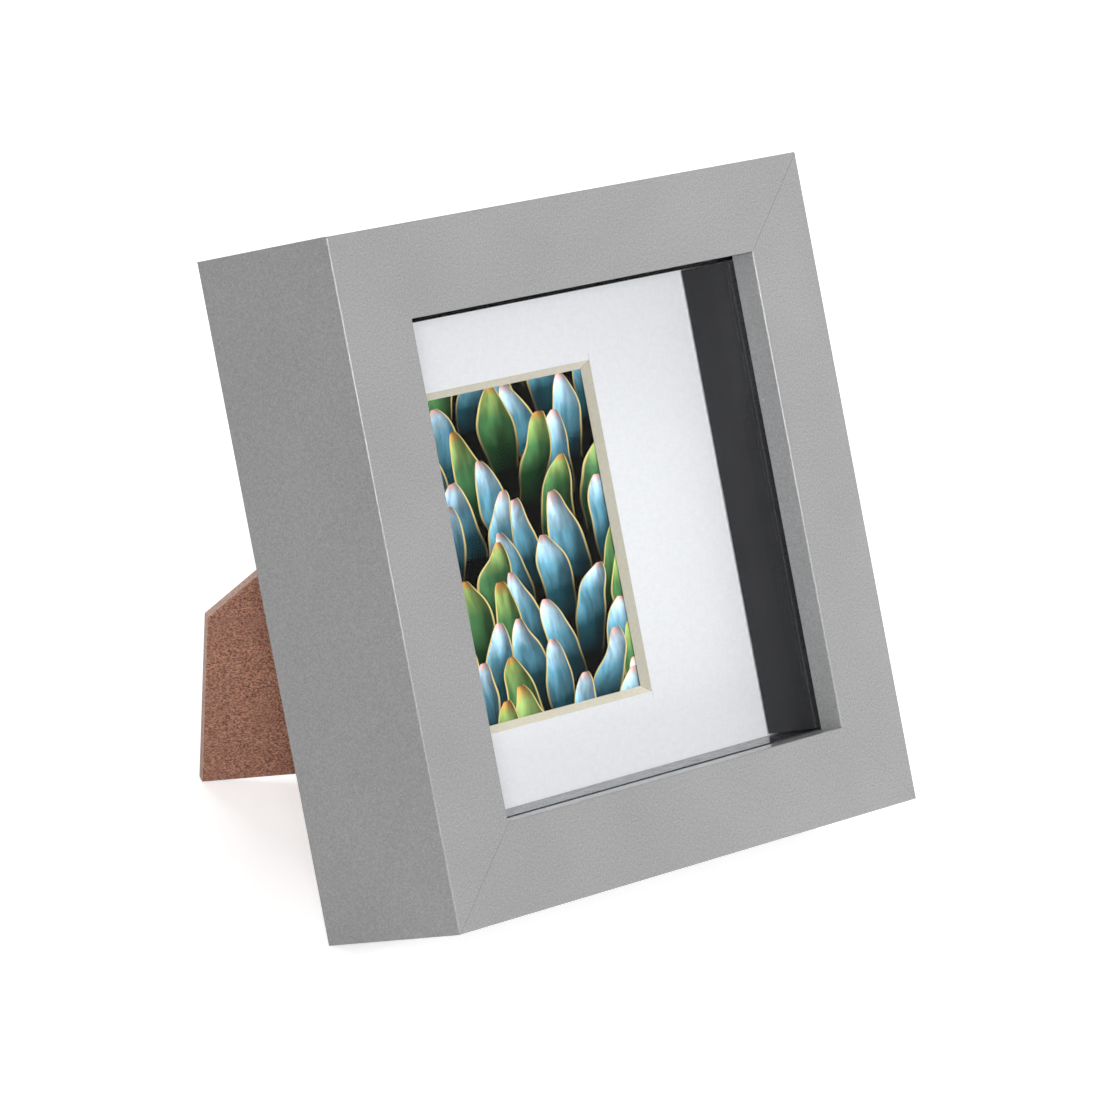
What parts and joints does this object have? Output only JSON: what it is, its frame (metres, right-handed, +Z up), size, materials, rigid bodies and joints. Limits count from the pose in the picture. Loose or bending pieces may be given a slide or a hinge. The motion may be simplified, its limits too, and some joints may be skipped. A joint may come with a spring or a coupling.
{
  "type": "shadow box frame",
  "caption": "Square deep grey shadow box frame with an offset white mat and a small print, leaning back on a diagonal hardboard easel strut.",
  "frame": {"origin": "on the table, under the middle of the whole object with its strut open", "axes": "+X to the right of the picture, +Y away from the viewer, +Z up; the frame leans back about 25.5 degrees"},
  "size_m": [0.125, 0.0992, 0.1274],
  "materials": {
    "lacquered_wood": "mid grey satin lacquer with a very fine grain",
    "clear_glass": "clear and polished",
    "black_foam": "black, smooth, low sheen",
    "mat_board": "white, matt, faint tooth, cream core at the bevel",
    "print_paper": "matt colour print",
    "hardboard": "brown pressed fibre, smooth face, paler sawn edge",
    "zinc_steel": "bright zinc"
  },
  "bodies": {
    "frame": {"backing_rivet_1": "zinc_steel", "backing_rivet_2": "zinc_steel", "hinge_leaf_back": "zinc_steel", "hinge_pin": "zinc_steel", "bottom_rail": "lacquered_wood", "right_stile": "lacquered_wood", "top_rail": "lacquered_wood", "left_stile": "lacquered_wood", "corner_nail_lower_right": "zinc_steel", "corner_nail_upper_right": "zinc_steel", "corner_nail_upper_left": "zinc_steel", "corner_nail_lower_left": "zinc_steel", "glass_pane": "clear_glass", "spacer_top": "black_foam", "spacer_bottom": "black_foam", "spacer_left": "black_foam", "spacer_right": "black_foam", "mat_board": "mat_board", "print": "print_paper", "backing_panel": "hardboard", "tab_shank_bottom": "zinc_steel", "tab_shank_right_lower": "zinc_steel", "tab_shank_right_upper": "zinc_steel", "tab_shank_top_left": "zinc_steel", "tab_shank_top_right": "zinc_steel", "tab_shank_left": "zinc_steel", "sawtooth_hanger_right": "zinc_steel", "hanger_nail_right_a": "zinc_steel", "hanger_nail_right_b": "zinc_steel", "sawtooth_hanger_top": "zinc_steel", "hanger_nail_top_a": "zinc_steel", "hanger_nail_top_b": "zinc_steel"},
    "strut": {"easel_strut": "hardboard", "hinge_leaf_strut": "zinc_steel", "strut_rivet_1": "zinc_steel", "strut_rivet_2": "zinc_steel"},
    "tab_bottom": {"tab_bottom": "zinc_steel"},
    "tab_right_lower": {"tab_right_lower": "zinc_steel"},
    "tab_right_upper": {"tab_right_upper": "zinc_steel"},
    "tab_top_left": {"tab_top_left": "zinc_steel"},
    "tab_top_right": {"tab_top_right": "zinc_steel"},
    "tab_left": {"tab_left": "zinc_steel"}
  },
  "joints": [
    {"name": "strut_fold", "type": "hinge", "parent": "frame", "child": "strut", "pos_m": [0.02669, 0.00846, 0.07701], "axis": [-0.6561, 0.325, 0.6811], "range_deg": [0, 41]},
    {"name": "tab_bottom_bend", "type": "hinge", "parent": "frame", "child": "tab_bottom", "pos_m": [0.024, -0.02257, 0.01523], "axis": [-1, 0, 0], "range_deg": [0, 85]},
    {"name": "tab_right_lower_bend", "type": "hinge", "parent": "frame", "child": "tab_right_lower", "pos_m": [0.0503, -0.01125, 0.03897], "axis": [0, -0.4306, -0.9025], "range_deg": [0, 85]},
    {"name": "tab_right_upper_bend", "type": "hinge", "parent": "frame", "child": "tab_right_upper", "pos_m": [0.0503, 0.01545, 0.09492], "axis": [0, -0.4306, -0.9025], "range_deg": [0, 85]},
    {"name": "tab_top_left_bend", "type": "hinge", "parent": "frame", "child": "tab_top_left", "pos_m": [-0.024, 0.02075, 0.10602], "axis": [1, 0, 0], "range_deg": [0, 85]},
    {"name": "tab_top_right_bend", "type": "hinge", "parent": "frame", "child": "tab_top_right", "pos_m": [0.038, 0.02075, 0.10602], "axis": [1, 0, 0], "range_deg": [0, 85]},
    {"name": "tab_left_bend", "type": "hinge", "parent": "frame", "child": "tab_left", "pos_m": [-0.0503, 0.00942, 0.08229], "axis": [0, 0.4306, 0.9025], "range_deg": [0, 85]}
  ]
}
